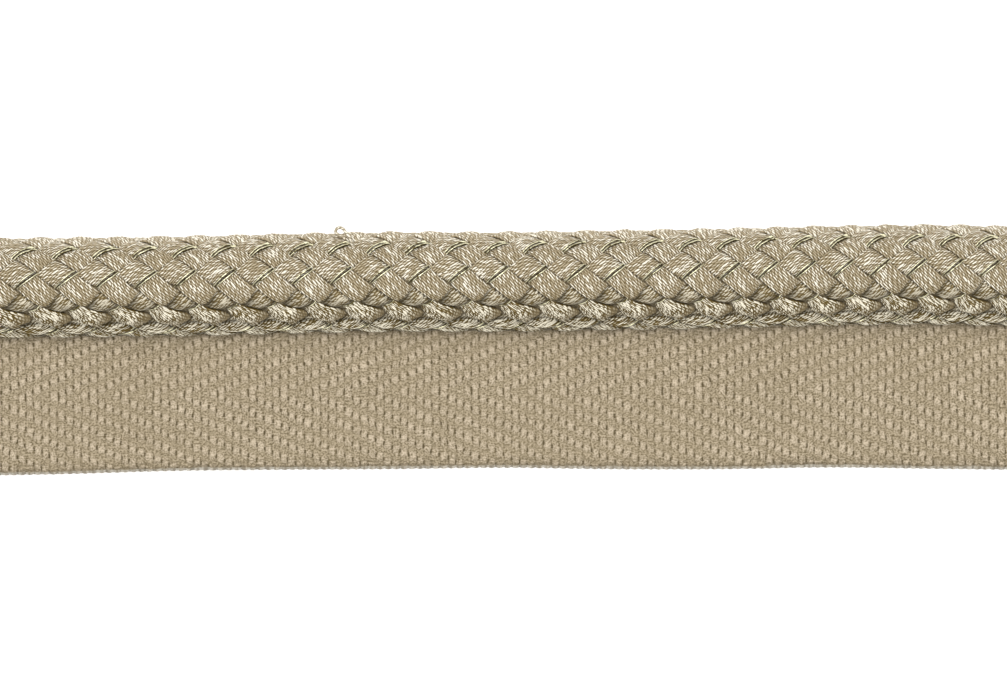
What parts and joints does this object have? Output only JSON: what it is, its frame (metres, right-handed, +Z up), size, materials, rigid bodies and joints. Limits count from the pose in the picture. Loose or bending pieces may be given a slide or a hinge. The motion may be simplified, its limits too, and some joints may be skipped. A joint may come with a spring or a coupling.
{
  "type": "braided lip cord, cut length",
  "caption": "Round braided cord with gold filament pairs, its lower edge sewn to a flat herringbone twill tape, cut to a short length and lying flat.",
  "frame": {"origin": "middle of the bounding box in X and Y, on the plane that the part lies on", "axes": "+X along the cord, +Y from the tape towards the cord, +Z up out of the plane that it lies on"},
  "size_m": [0.1, 0.0229, 0.0079],
  "materials": {
    "cord_yarn": "lustrous twisted yarn, taupe beige, with pairs of pale gold metal filament",
    "tape_cotton": "matte cotton twill, khaki beige"
  },
  "bodies": {
    "root": {"braided_cord": "cord_yarn", "lip_tape": "tape_cotton"}
  },
  "joints": []
}
